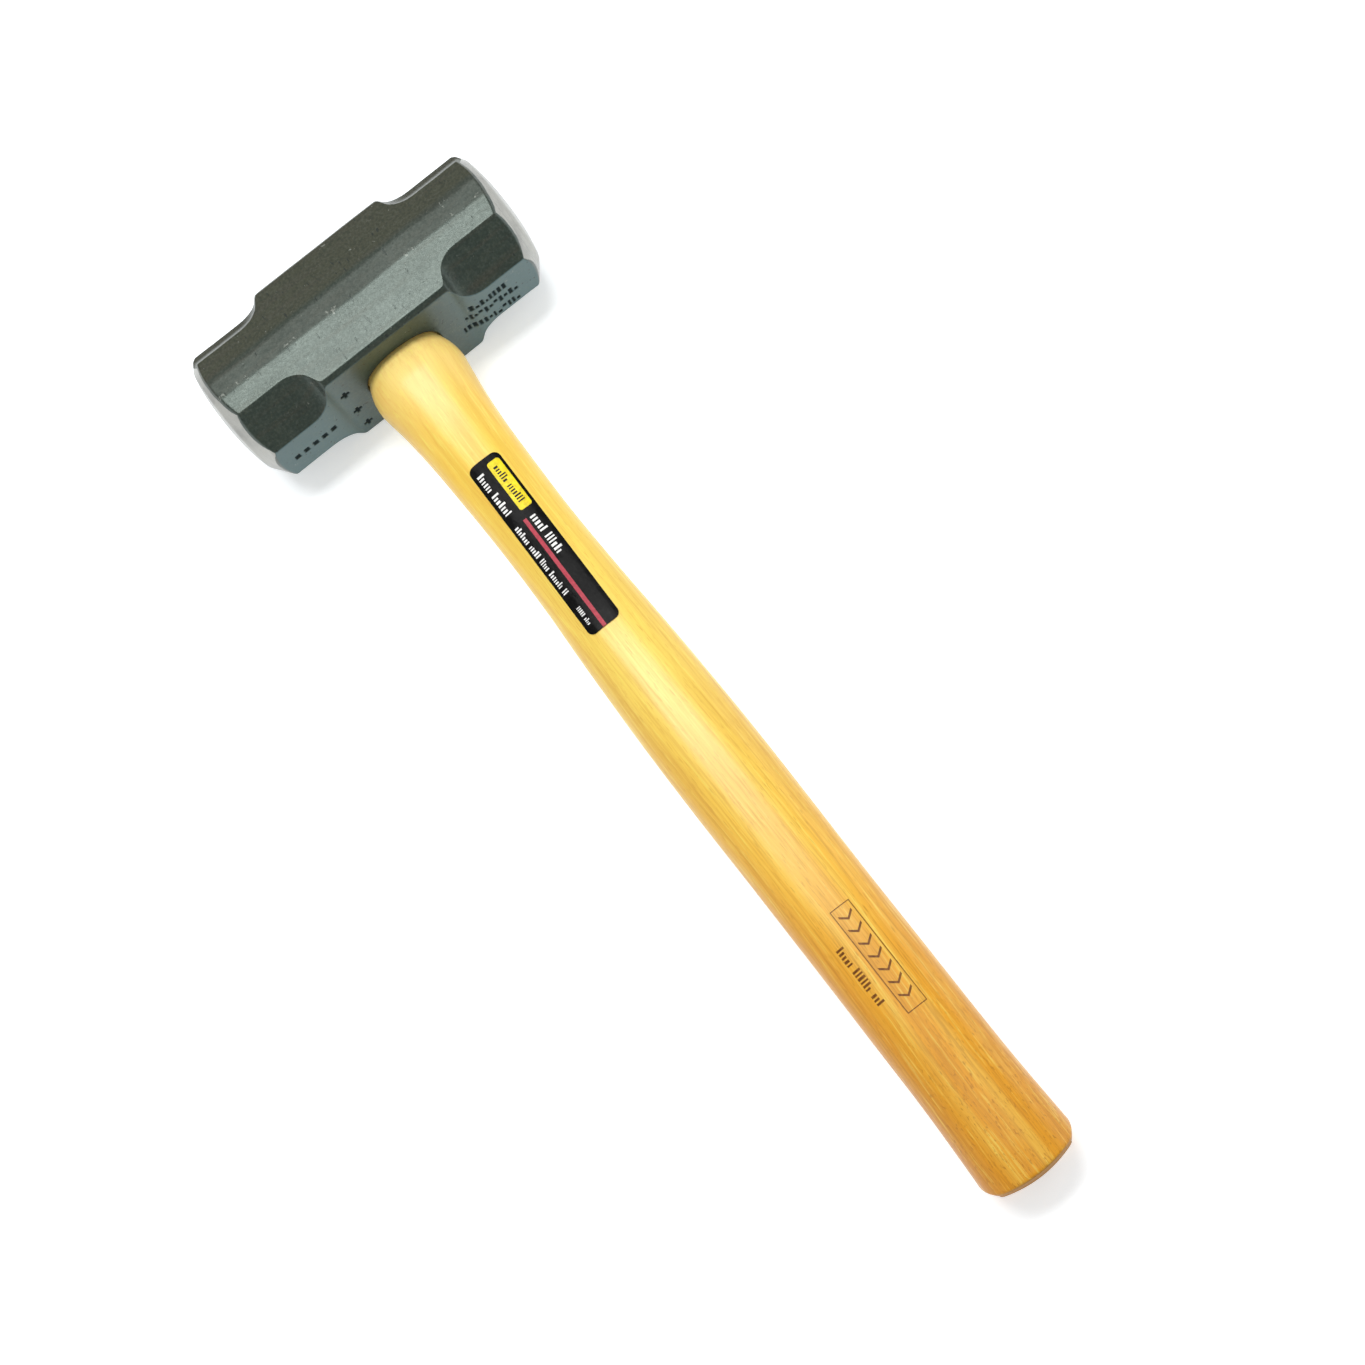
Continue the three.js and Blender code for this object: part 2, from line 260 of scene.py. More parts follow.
def rounded_path(corners, radii, counts):
    """Points along straight stretches whose inner corners are arcs (quadratic, to the radius)."""
    corners = [np.array(c) for c in corners]
    starts, ends = [corners[0]], []
    for k in range(1, len(corners) - 1):
        before = corners[k - 1] - corners[k]
        after = corners[k + 1] - corners[k]
        reach = min(
            radii[k - 1] * math.tan(math.acos(np.clip(
                -before @ after / np.linalg.norm(before) / np.linalg.norm(after), -1, 1)) / 2),
            0.45 * np.linalg.norm(before),
            0.45 * np.linalg.norm(after),
        )
        ends.append(corners[k] + before / np.linalg.norm(before) * reach)
        starts.append(corners[k] + after / np.linalg.norm(after) * reach)
    ends.append(corners[-1])
    points = []
    for k, (start, end) in enumerate(zip(starts, ends)):
        for t in np.linspace(0, 1, counts[k], endpoint=False):
            points.append(start + (end - start) * t)
        if k < len(ends) - 1:
            for t in np.linspace(0, 1, ARC_POINTS, endpoint=False):
                inner = (1 - t) ** 2 * end + 2 * t * (1 - t) * corners[k + 1]
                points.append(inner + t * t * starts[k + 1])
    points.append(ends[-1])
    return np.array(points)


def section(x):
    """The whole outline at x as (y, z) points, from the middle of the front cheek over the top."""
    above, below = (rounded_path(quarter(x, under), EDGE_RADII, CHEEK_POINTS + [last])
                    for under, last in enumerate(END_POINTS))
    front_top = above[:-1]
    back_top = (above * [1, -1])[::-1][:-1]
    back_under = (below * [-1, -1])[:-1]
    front_under = (below * [-1, 1])[::-1][:-1]
    return np.vstack([front_top, back_top, back_under, front_under])


def turned_x(radius):
    """Where the turned outline lies along the head, at a distance from the turned axis."""
    crown = CROWN * np.clip((radius - FACE_FLAT) / (FACE_RIM - FACE_FLAT), 0, 1) ** 2
    bevel = BEVEL_SLOPE * np.maximum(radius - FACE_RIM, 0)
    corners = CORNER_CURVE * np.maximum(radius - CORNER_RADIUS, 0) ** 2
    return HEAD_HALF - crown - bevel - corners


def end_rows(side):
    """Rows of points from the end of the body over the bevel and the crowned face."""
    outline = section(side * BODY_END)
    arms = outline - [TURNED_OFFSET, 0]
    radius = np.linalg.norm(arms, axis=1)
    edge_x = turned_x(radius)
    rows = [np.column_stack([BODY_END + (edge_x - BODY_END) * t, outline])
            for t in np.linspace(0, 1, BEVEL_ROWS)[1:]]
    inward = [radius + (FACE_RIM - radius) * t for t in np.linspace(0, 1, RIM_ROWS)[1:]]
    inward += [np.full(len(arms), FACE_RIM * (1 - t)) for t in np.linspace(0, 1, FACE_ROWS)[1:-1]]
    for r in inward:
        rows.append(np.column_stack([turned_x(r), arms * (r / radius)[:, None] + [TURNED_OFFSET, 0]]))
    rows = np.array(rows)
    lap = PAINT_OVER * (1 - smoothstep(*LAP_FADE, radius))
    bare = smoothstep(*BARE_FADE, rows[:, :, 0] - edge_x - lap)
    rows[:, :, 0] *= side
    return rows, bare


def head_grid():
    """Rows of points along the head, and how bare of paint each point is."""
    steps = int(round(2 * BODY_END / X_STEP))
    xs = np.linspace(-BODY_END, BODY_END, steps + 1)
    body = np.array([np.column_stack([np.full(len(section(x)), x), section(x)]) for x in xs])
    for _ in range(6):  # soften the edges that cross the head, at the ends of the run-outs
        body[1:-1] = 0.25 * body[:-2] + 0.5 * body[1:-1] + 0.25 * body[2:]
    right, right_bare = end_rows(1)
    left, left_bare = end_rows(-1)
    rows = np.concatenate([left[::-1], body, right])
    bare = np.concatenate([left_bare[::-1], np.zeros(body.shape[:2]), right_bare])
    for _ in range(2):  # take the razor edge off the bevels
        rows[1:-1] = 0.2 * rows[:-2] + 0.6 * rows[1:-1] + 0.2 * rows[2:]
    return rows, bare


def stamped_blocks():
    """Plain recessed marks on the face towards the handle: (x, z, half width, half height)."""
    blocks = []
    for k in range(5):  # a row of square dots
        blocks.append((-50 + 4 * k, -1.0, 1.1, 1.1))
    for z in (8.8, -4.4, -15.4):  # three small punch marks
        blocks.append((-23.4, z, 1.8, 0.6))
        blocks.append((-23.4, z, 0.6, 1.8))
    draw = np.random.default_rng(31)
    for z, start, end in ((4.3, 29, 45), (-1.2, 26, 47), (-7.3, 23.5, 47)):
        x = start
        while x < end:
            half = draw.uniform(0.45, 0.85)
            tall = draw.choice([0.7, 1.6, 1.6])
            shift = draw.choice([-0.9, 0.0, 0.9]) if tall < 1 else 0.0
            blocks.append((x + half, z + shift, half, tall))
            x += 2 * half + 0.7
    return MM * np.array(blocks)


def stamp_depth(points):
    """0 to 1 over the stamped marks, for points on the face towards the handle."""
    depth = np.zeros(len(points))
    under = points[:, 1] < -(MIDDLE_TOP - 0.6 * MM)
    for x, z, half_x, half_z in stamped_blocks():
        across = 1 - smoothstep(half_x - STAMP_SOFT, half_x + STAMP_SOFT, np.abs(points[:, 0] - x))
        along = 1 - smoothstep(half_z - STAMP_SOFT, half_z + STAMP_SOFT, np.abs(points[:, 2] - z))
        depth = np.maximum(depth, across * along * under)
    return depth


def head_piece():
    """The forging, with its stamped marks and eye."""
    rows, bare = head_grid()
    count = rows.shape[1]
    verts = rows.reshape(-1, 3)
    bare = bare.reshape(-1)
    painted = 1 - smoothstep(*PAINT_END, np.abs(verts[:, 0]))
    outward = verts * [0, 1, 1]
    outward /= np.linalg.norm(outward, axis=1)[:, None] + 1e-9
    forged = 0.04 * MM * waves(verts, 21 * MM, 26, 3) + 0.003 * MM * waves(verts, 5 * MM, 26, 4)
    verts = verts + outward * ((forged - 0.05 * MM) * painted)[:, None]
    stamp = stamp_depth(verts)
    verts[:, 1] += STAMP_DEPTH * stamp
    tips = [(-HEAD_HALF, TURNED_OFFSET, 0), (HEAD_HALF, TURNED_OFFSET, 0)]
    faces = ring_faces(len(rows), count, caps=False)
    first, last = len(verts), len(verts) + 1
    base = (len(rows) - 1) * count
    for i in range(count):
        faces.append((first, (i + 1) % count, i))
        faces.append((last, base + i, base + (i + 1) % count))
    verts = np.vstack([verts, tips])
    piece = place("forged_head", verts, faces, head_material())
    flip_if_inward(piece.data)
    point_values(piece, "bare", np.append(bare, [1, 1]))
    point_values(piece, "stamp", np.append(stamp, [0, 0]))
    normals = np.array([tuple(vertex.normal) for vertex in piece.data.vertices])
    # The faces under the head, which get the painted teal reflection in the enamel.
    point_values(piece, "under", smoothstep(0.80, 0.93, -normals @ np.array(HAMMER.col[1][:3])))
    cut_away(piece, eye_cutter())
    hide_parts("head")
    return piece


def point_values(piece, name, values):
    """A value at every vertex, for the materials."""
    layer = piece.data.attributes.new(name, "FLOAT", "POINT")
    layer.data.foreach_set("value", values.astype(np.float32))


def flip_if_inward(mesh):
    """Turns a closed mesh's faces outward."""
    bm = bmesh.new()
    bm.from_mesh(mesh)
    if bm.calc_volume(signed=True) < 0:
        bmesh.ops.reverse_faces(bm, faces=bm.faces)
    bm.to_mesh(mesh)
    bm.free()


def eye_size(y):
    """Half width and half thickness of the eye at a height."""
    to_top = np.clip(y / MIDDLE_TOP, 0, 1) ** 2
    to_mouth = np.clip(-y / MIDDLE_TOP, 0, 1) ** 2
    return [w + (t - w) * to_top + (m - w) * to_mouth
            for w, t, m in zip(EYE_WAIST, EYE_TOP, EYE_MOUTH)]


def eye_cutter():
    """The oval hole, flared to both mouths, with a chamfer at each."""
    angles = np.linspace(0, 2 * np.pi, EYE_POINTS, endpoint=False)
    ys = [-END_TOP - MM, -MIDDLE_TOP - CUT_BEYOND]
    ys += list(np.linspace(-MIDDLE_TOP + EYE_CHAMFER, MIDDLE_TOP - EYE_CHAMFER, EYE_RINGS))
    ys += [MIDDLE_TOP + CUT_BEYOND, END_TOP + MM]
    verts = []
    for k, y in enumerate(ys):
        half_x, half_z = eye_size(y)
        grow = EYE_CHAMFER + CUT_BEYOND if k in (0, 1, len(ys) - 2, len(ys) - 1) else 0
        x, z = oval(half_x + grow, half_z + grow, angles)
        verts += list(np.column_stack([x, np.full(len(x), y), z]))
    cutter = place("eye_cutter", verts, ring_faces(len(ys), len(angles)), None, body=None)
    flip_if_inward(cutter.data)
    return cutter


# ---- handle ----

HANDLE_POINTS = 96
TONGUE_RINGS = 16
SHOULDER_STEP = 1.2 * MM  # between the cross sections of the shoulder
HANDLE_STEP = 3 * MM  # and of the rest of the handle
BUTT_ROWS = 10
BUTT_ARRIS_ROWS = 6
BUTT_INNER_SCALES = (0.85, 0.68, 0.5, 0.32, 0.14)  # rings on the end of the butt
WEDGE_CLEAR = 2 * MM  # how far a slot's cutter reaches above the tongue


def profile_slopes():
    """Slopes of the handle's profile at its points, for the spline through them."""
    d = HANDLE_PROFILE[:, 0]
    values = HANDLE_PROFILE[:, 1:]
    secants = np.diff(values, axis=0) / np.diff(d)[:, None]
    steps = np.diff(d)[:, None]
    inner = (secants[:-1] * steps[1:] + secants[1:] * steps[:-1]) / (steps[1:] + steps[:-1])
    return np.vstack([secants[:1], inner, secants[-1:]])


PROFILE_SLOPES = profile_slopes()


def handle_size(distance):
    """Half width and half thickness at a distance below the middle of the head (cubic spline)."""
    d = HANDLE_PROFILE[:, 0]
    k = int(np.clip(np.searchsorted(d, distance) - 1, 0, len(d) - 2))
    h = d[k + 1] - d[k]
    t = (distance - d[k]) / h
    a, b = HANDLE_PROFILE[k, 1:], HANDLE_PROFILE[k + 1, 1:]
    m, n = PROFILE_SLOPES[k] * h, PROFILE_SLOPES[k + 1] * h
    return ((2 * t ** 3 - 3 * t ** 2 + 1) * a + (t ** 3 - 2 * t ** 2 + t) * m
            + (3 * t ** 2 - 2 * t ** 3) * b + (t ** 3 - t ** 2) * n)


def handle_rings():
    """(y, half width, half thickness) of every cross section, from the tongue to the butt."""
    rings = []
    ease = 0.5 * MM  # the tongue's sawn end has its arris taken off
    eased = ((ease, TONGUE_TOP), (0.2 * ease, TONGUE_TOP - 0.25 * ease), (0, TONGUE_TOP - ease))
    for inset, y in eased:
        half_x, half_z = eye_size(y)
        rings.append((y, half_x - FIT_GAP - inset, half_z - FIT_GAP - inset))
    for y in np.linspace(TONGUE_TOP - 2 * MM, -SHOULDER_START, TONGUE_RINGS):
        half_x, half_z = eye_size(y)
        rings.append((y, half_x - FIT_GAP, half_z - FIT_GAP))
    for distance in np.arange(SHOULDER_START + MM, SHOULDER_END, SHOULDER_STEP):
        rings.append((-distance, *handle_size(distance)))
    for distance in np.arange(SHOULDER_END + MM, BUTT_PLAIN_END + 0.5 * MM, HANDLE_STEP):
        rings.append((-distance, *handle_size(distance)))
    return rings


def butt_distance(x, half_x):
    """How far down the butt reaches at x: a shallow arc with round corners."""
    into_corner = np.clip((np.abs(x) - (half_x - BUTT_CORNER)) / BUTT_CORNER, 0, 1)
    dome = BUTT_END - BUTT_CORNER_START - BUTT_CORNER
    arc = dome * (1 - (x / half_x) ** 2)
    return BUTT_CORNER_START + BUTT_CORNER * np.sqrt(1 - into_corner ** 2) + arc


def butt_rings(angles):
    """Point rings from the last plain cross section over the arris to the middle of the end."""
    half_x, half_z = handle_size(BUTT_CORNER_START)
    start_x, start_z = handle_size(BUTT_PLAIN_END)
    rings = []
    for t in np.linspace(0.1, 1, BUTT_ROWS):
        x, z = oval(start_x + (half_x - start_x) * t, start_z + (half_z - start_z) * t, angles)
        reach = butt_distance(x, half_x) - BUTT_ARRIS
        rings.append(np.column_stack([x, -(BUTT_PLAIN_END + (reach - BUTT_PLAIN_END) * t), z]))
    for turn in np.linspace(0, np.pi / 2, BUTT_ARRIS_ROWS)[1:]:
        inset = BUTT_ARRIS * (1 - math.cos(turn))
        x, z = oval(half_x - inset, half_z - inset, angles)
        reach = butt_distance(x * half_x / (half_x - inset), half_x) - BUTT_ARRIS * (1 - math.sin(turn))
        rings.append(np.column_stack([x, -reach, z]))
    for scale in BUTT_INNER_SCALES:
        x, z = oval((half_x - BUTT_ARRIS) * scale, (half_z - BUTT_ARRIS) * scale, angles)
        rings.append(np.column_stack([x, -butt_distance(x, half_x), z]))
    return rings


def shaving(points):
    """Hand-shaved unevenness of the handle, long along the wood."""
    return (0.05 * MM * waves(points * [1, 0.25, 1], 13 * MM, 20, 8) - 0.04 * MM) * smoothstep(
        30 * MM, 60 * MM, -points[:, 1])


def shaved(points):
    """The points, moved by the handle's unevenness."""
    outward = points * [1, 0, 1]
    outward /= np.linalg.norm(outward, axis=1)[:, None] + 1e-9
    return points + outward * shaving(points)[:, None]


def handle_piece():
    """The handle from its tongue to its butt, with the kerf and the wedges' slots."""
    angles = np.linspace(0, 2 * np.pi, HANDLE_POINTS, endpoint=False)
    rings = handle_rings()
    verts = []
    for y, half_x, half_z in rings:
        x, z = oval(half_x, half_z, angles)
        verts += list(np.column_stack([x, np.full(len(x), y), z]))
    ends = butt_rings(angles)
    verts = shaved(np.vstack([verts] + ends))
    piece = place("hickory_handle", verts, ring_faces(len(rings) + len(ends), len(angles)),
                  wood_material("hickory"))
    flip_if_inward(piece.data)
    half_x = handle_size(BUTT_CORNER_START)[0]
    left_over = butt_distance(np.clip(verts[:, 0], -half_x, half_x), half_x) + verts[:, 1]
    sawn = 1 - smoothstep(0.05 * MM, 0.6 * MM, left_over)
    sawn = np.maximum(sawn, smoothstep(TONGUE_TOP - 0.4 * MM, TONGUE_TOP - 0.1 * MM, verts[:, 1]))
    point_values(piece, "sawn", sawn)
    cut_away(piece, wood_wedge_block("kerf", FIT_GAP))
    for side in (-1, 1):
        cut_away(piece, steel_wedge_block("slot", side, FIT_GAP))
    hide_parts("handle")
    return piece


# ---- wedges ----

def tapered_block(name, top_y, length, top, tip, shift_x=0.0, material=None, body=None, slot=None):
    """A block along -Y with half sizes (x, z) at its top and at its tip."""
    verts = []
    for y, (half_x, half_z) in ((top_y, top), (top_y - length, tip)):
        for sx, sz in ((1, 1), (-1, 1), (-1, -1), (1, -1)):
            verts.append((sx * half_x + shift_x, y, sz * half_z))
    faces = ring_faces(2, 4)
    piece = place(name, verts, faces, material, body=body, smooth=False)
    flip_if_inward(piece.data)
    return piece


def wood_wedge_block(name, grow, **kind):
    """The wooden wedge or, grown by the gap, what cuts its kerf."""
    above = WEDGE_CLEAR if grow else 0
    taper = (WOOD_WEDGE_TOP - WOOD_WEDGE_TIP) / KERF_LENGTH
    return tapered_block(
        name, TONGUE_TOP + above, KERF_LENGTH + above + grow,
        (WOOD_WEDGE_HALF_X + grow, WOOD_WEDGE_TOP + taper * above + grow),
        (WOOD_WEDGE_HALF_X - MM + grow, WOOD_WEDGE_TIP + grow), **kind)


def steel_wedge_block(name, side, grow, **kind):
    """A steel wedge or, grown by the gap, what cuts its slot."""
    above = WEDGE_CLEAR if grow else 0
    taper = (STEEL_WEDGE_TOP - STEEL_WEDGE_TIP) / STEEL_WEDGE_LENGTH
    return tapered_block(
        name, TONGUE_TOP + above, STEEL_WEDGE_LENGTH + above + grow,
        (STEEL_WEDGE_TOP + taper * above + grow, STEEL_WEDGE_HALF_Z + grow),
        (STEEL_WEDGE_TIP + grow, STEEL_WEDGE_HALF_Z - 0.6 * MM + grow),
        shift_x=side * STEEL_WEDGE_OFFSET, **kind)


def round_edges(piece, width, segments):
    """Rounds the piece's sharp edges and shades it smooth."""
    modifier = piece.modifiers.new("edges", "BEVEL")
    modifier.width = width
    modifier.segments = segments
    modifier.limit_method = "ANGLE"
    bake_modifiers(piece)
    for polygon in piece.data.polygons:
        polygon.use_smooth = True


def wedge_pieces():
    """The wooden wedge in the kerf and the two steel wedges across it."""
    wood = wood_wedge_block("kerf_wedge", 0, material=wood_material("wedge"), body="root",
                            slot="wedge_wood")
    for side in (-1, 1):
        cut_away(wood, steel_wedge_block("slot", side, FIT_GAP))
    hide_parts("wood_wedge")
    steel = wedge_steel_material()
    for side, node in ((-1, "steel_wedge_left"), (1, "steel_wedge_right")):
        wedge = steel_wedge_block("driven_" + node, side, 0, material=steel, body="root",
                                  slot="wedge_steel")
        round_edges(wedge, 0.25 * MM, 2)
        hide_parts(node)


# ---- label and grip mark: thin films over the front of the handle ----

FILM_LIFT = 0.16 * MM
FILM_THICKNESS = 0.14 * MM
INK_GAP = 0.01 * MM
INK_LIFT = FILM_LIFT + FILM_THICKNESS + INK_GAP
INK_THICKNESS = 0.02 * MM
GRIP_INK_LIFT = 0.03 * MM


def over_handle(distance, across, lift):
    """A point a little above the front of the handle."""
    half_x, half_z = handle_size(distance)
    ratio = min(abs(across / half_x), 0.999)
    height = half_z * (1 - ratio ** OVAL_POWER) ** (1 / OVAL_POWER)
    slope = half_z / half_x * (ratio / (1 - ratio ** OVAL_POWER) ** (1 / OVAL_POWER)) ** (OVAL_POWER - 1)
    normal = Vector((slope * (1 if across > 0 else -1), 0, 1)).normalized()
    return Vector((across, -distance, height)) + normal * lift


def film(grids, lift, thickness):
    """Closed thin sheets over the handle. Each grid is rows of (distance, across) points."""
    verts, faces = [], []
    for grid in grids:
        rows, columns = len(grid), len(grid[0])
        start = len(verts)
        for level in (lift, lift + thickness):
            points = np.array([over_handle(d, a, level) for row in grid for d, a in row])
            verts += list(shaved(points))
        layer = rows * columns
        at = lambda r, c, top: start + top * layer + r * columns + c
        for r in range(rows - 1):
            for c in range(columns - 1):
                faces.append((at(r, c, 1), at(r + 1, c, 1), at(r + 1, c + 1, 1), at(r, c + 1, 1)))
                faces.append((at(r, c, 0), at(r, c + 1, 0), at(r + 1, c + 1, 0), at(r + 1, c, 0)))
        rim = [(r, 0) for r in range(rows)] + [(rows - 1, c) for c in range(1, columns)]
        rim += [(r, columns - 1) for r in range(rows - 2, -1, -1)]
        rim += [(0, c) for c in range(columns - 2, 0, -1)]
        for k, (r, c) in enumerate(rim):
            r2, c2 = rim[(k + 1) % len(rim)]
            faces.append((at(r, c, 0), at(r2, c2, 0), at(r2, c2, 1), at(r, c, 1)))
    return verts, faces


def patch(start, end, left, right, corner=0.0, columns=None, step=1.2 * MM):
    """A grid over a rectangle with round corners, in distance and across."""
    length = end - start
    count = max(2, int(round(length / step)) + 1)
    inner = np.linspace(start + corner, end - corner, count)
    if corner:
        turn = corner * (1 - np.cos(np.linspace(0, np.pi / 2, 6)))[:-1]
        distances = np.concatenate([start + turn, inner, (end - turn)[::-1]])
    else:
        distances = inner
    columns = columns or max(2, int(round(abs(right - left) / (0.8 * MM))) + 1)
    grid = []
    for d in distances:
        into = min(d - start, end - d)
        inset = corner - math.sqrt(max(corner ** 2 - (corner - min(into, corner)) ** 2, 0))
        grid.append([(d, a) for a in np.linspace(left + inset, right - inset, columns)])
    return grid


def film_piece(name, grids, lift, thickness, material):
    """A piece of thin sheets whose rims shade sharply."""
    verts, faces = film(grids, lift, thickness)
    piece = place(name, verts, faces, material)
    flip_if_inward(piece.data)
    modifier = piece.modifiers.new("normals", "EDGE_SPLIT")
    modifier.split_angle = math.radians(50)
    bake_modifiers(piece)
    return piece


def words(start, end, across, height, seed):
    """A line of short strokes, grouped like words, that spells nothing."""
    draw = np.random.default_rng(seed)
    grids = []
    d = start
    while d < end:
        for _ in range(draw.integers(4, 8)):
            width = height * draw.uniform(0.20, 0.34)
            low = across - height / 2
            high = low + height * draw.choice([0.62, 0.7, 1.0])
            if d < end:
                grids.append(patch(d, d + width, low, high, columns=4, step=MM))
            d += width + 0.22 * height
        d += 0.5 * height
    return grids


def on_label(grids):
    """Grids with distances from the label's start, laid along the label, which is a little askew."""
    lean = LABEL_LEAN / (LABEL_END - LABEL_START)
    return [[[(LABEL_START + d, a + lean * d) for d, a in row] for row in grid] for grid in grids]


def ink_piece(name, grids, look, lift=INK_LIFT):
    """Print on the label."""
    film_piece(name, on_label(grids), lift, INK_THICKNESS, print_material(*look))


def label_pieces():
    """The black label and the plain panel, line and strokes printed on it."""
    length = LABEL_END - LABEL_START
    black = patch(0, length, -LABEL_HALF, LABEL_HALF, corner=2.4 * MM, columns=17)
    base = film_piece("label_film", on_label([black]), FILM_LIFT, FILM_THICKNESS,
                      print_material("label_black", (0.006, 0.006, 0.006), 0.16, 0.05))
    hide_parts("label")
    panel = patch(2.5 * MM, 23.8 * MM, 0.3 * MM, 5.2 * MM, corner=1.0 * MM, columns=9)
    ink_piece("label_panel", [panel], ("label_yellow", (0.86, 0.68, 0.012), 0.28, 0.15))
    line = patch(27 * MM, length - 0.1 * MM, -1.1 * MM, 0.3 * MM, columns=4)
    ink_piece("label_line", [line], ("label_red", (0.43, 0.030, 0.055), 0.3, 0.15))
    white = []
    for start, end, across, height, seed in ((4.2, 22.5, -3.5, 2.7, 5), (27.5, 44.5, 2.9, 3.0, 6),
                                             (27.5, 57, -4.1, 2.1, 7), (64, 72, -3.9, 1.5, 9)):
        white += words(start * MM, end * MM, across * MM, height * MM, seed)
    ink_piece("label_print", white, ("label_white", (0.82, 0.82, 0.80), 0.35))
    mark = words(5 * MM, 21.5 * MM, 2.8 * MM, 2.5 * MM, 12)
    ink_piece("label_mark", mark, ("label_mark_black", (0.010, 0.008, 0.005), 0.3, 0.10),
              INK_LIFT + INK_THICKNESS + INK_GAP)


def slanted(start, end, left, right, lean):
    """A stroke whose ends are shifted along the handle."""
    grid = []
    for d in np.linspace(start, end, 3):
        across = np.linspace(left, right, 6)
        grid.append([(d + lean * (a - left) / (right - left), a) for a in across])
    return grid


def grip_mark_piece():
    """A plain frame round a row of chevrons, with a row of strokes beside it."""
    start, end, left, right, line = 272 * MM, 311 * MM, -1.5 * MM, 5.8 * MM, 0.28 * MM
    grids = [
        patch(start, end, left, left + line, columns=2, step=2 * MM),
        patch(start, end, right - line, right, columns=2, step=2 * MM),
        patch(start, start + line, left, right, columns=10, step=line),
        patch(end - line, end, left, right, columns=10, step=line),
    ]
    middle = (left + right) / 2
    inset = 1.2 * MM
    for k in range(7):
        d = start + (2.6 + 4.95 * k) * MM
        grids.append(slanted(d, d + 0.85 * MM, left + inset, middle, 1.9 * MM))
        grids.append(slanted(d + 1.9 * MM, d + 2.75 * MM, middle, right - inset, -1.9 * MM))
    grids += words(282.5 * MM, 303 * MM, -6.0 * MM, 2.7 * MM, 21)
    return film_piece("grip_mark", grids, GRIP_INK_LIFT, INK_THICKNESS, grip_ink_material())


# ---- materials ----

def new_material(name):
    """An empty material and its shader, joined to the output."""
    material = bpy.data.materials.new(name)
    material.use_nodes = True
    nodes = material.node_tree.nodes
    nodes.clear()
    output = nodes.new("ShaderNodeOutputMaterial")
    shader = nodes.new("ShaderNodeBsdfPrincipled")
    material.node_tree.links.new(shader.outputs[0], output.inputs["Surface"])
    return material, shader


def rgba(colour):
    return (*colour, 1) if isinstance(colour, tuple) else colour


class Graph:
    """Short calls for the nodes that the materials share."""

    def __init__(self, material):
        self.tree = material.node_tree

    def link(self, value, socket):
        if isinstance(value, (int, float, tuple)):
            socket.default_value = value
        else:
            self.tree.links.new(value, socket)

    def node(self, kind, inputs):
        """A shader node with its inputs, by name or place, set or linked."""
        node = self.tree.nodes.new("ShaderNode" + kind)
        for name, value in inputs.items():
            self.link(value, node.inputs[name])
        return node

    def hammer_point(self):
        """Coordinates in the hammer's own axes."""
        back = HAMMER.inverted()
        source = self.node("TexCoord", {}).outputs["Object"]
        return self.node("Mapping", {"Vector": source, "Rotation": tuple(back.to_euler("XYZ")),
                                     "Location": tuple(back.translation)}).outputs[0]

    def stretch(self, point, scale):
        return self.node("Mapping", {"Vector": point, "Scale": scale}).outputs[0]

    def noise(self, point, scale, detail=3.0, roughness=0.5, distortion=0.0):
        return self.node("TexNoise", {"Vector": point, "Scale": scale, "Detail": detail,
                                      "Roughness": roughness, "Distortion": distortion}).outputs["Fac"]

    def cells(self, point, scale):
        return self.node("TexVoronoi", {"Vector": point, "Scale": scale}).outputs["Distance"]

    def split(self, point):
        return self.node("SeparateXYZ", {0: point}).outputs

    def join(self, x, y, z):
        return self.node("CombineXYZ", {"X": x, "Y": y, "Z": z}).outputs[0]

    def math(self, operation, a, b=0.0, c=0.0):
        node = self.node("Math", {0: a, 1: b, 2: c})
        node.operation = operation
        return node.outputs[0]

    def span(self, value, low, high, out_low=0.0, out_high=1.0):
        node = self.node("MapRange", {"Value": value, "From Min": low, "From Max": high,
                                      "To Min": out_low, "To Max": out_high})
        node.interpolation_type = "SMOOTHSTEP"
        return node.outputs[0]

    def ramp(self, value, stops):
        node = self.node("ValToRGB", {"Fac": value})
        elements = node.color_ramp.elements
        while len(elements) < len(stops):
            elements.new(0.5)
        for element, (position, colour) in zip(elements, stops):
            element.position = position
            element.color = rgba(colour)
        return node.outputs["Color"]

    def mix(self, factor, a, b):
        node = self.tree.nodes.new("ShaderNodeMix")
        node.data_type = "RGBA"
        for socket, value in (("Factor", factor), (6, rgba(a)), (7, rgba(b))):
            self.link(value, node.inputs[socket])
        return node.outputs[2]

    def attribute(self, name):
        node = self.node("Attribute", {})
        node.attribute_name = name
        return node.outputs["Fac"]

    def bump(self, height, distance, strength):
        return self.node("Bump", {"Strength": strength, "Distance": distance,
                                  "Height": height}).outputs[0]


def enamel_flaws(g, point):
    """Chipped specks, thickest along the strip's edges, and scratches: 0 to 1 each."""
    y = g.split(point)[1]
    near_edge = g.math("ABSOLUTE", g.math("ADD", g.math("ABSOLUTE", y), -STRIP))
    chips = g.math("MULTIPLY", g.span(near_edge, 3.2 * MM, 0.2 * MM, 0.4, 1.0),
                   g.span(g.noise(g.stretch(point, (75, 110, 75)), 1.0, 1), 0.50, 0.68, 0.0, 0.17))
    specks = g.span(g.math("ADD", g.noise(point, 560, 4, 0.7), chips), 0.69, 0.73)
    scratches = g.span(g.noise(g.stretch(point, (640, 150, 640)), 1.0, 1), 0.705, 0.74)
    return specks, scratches


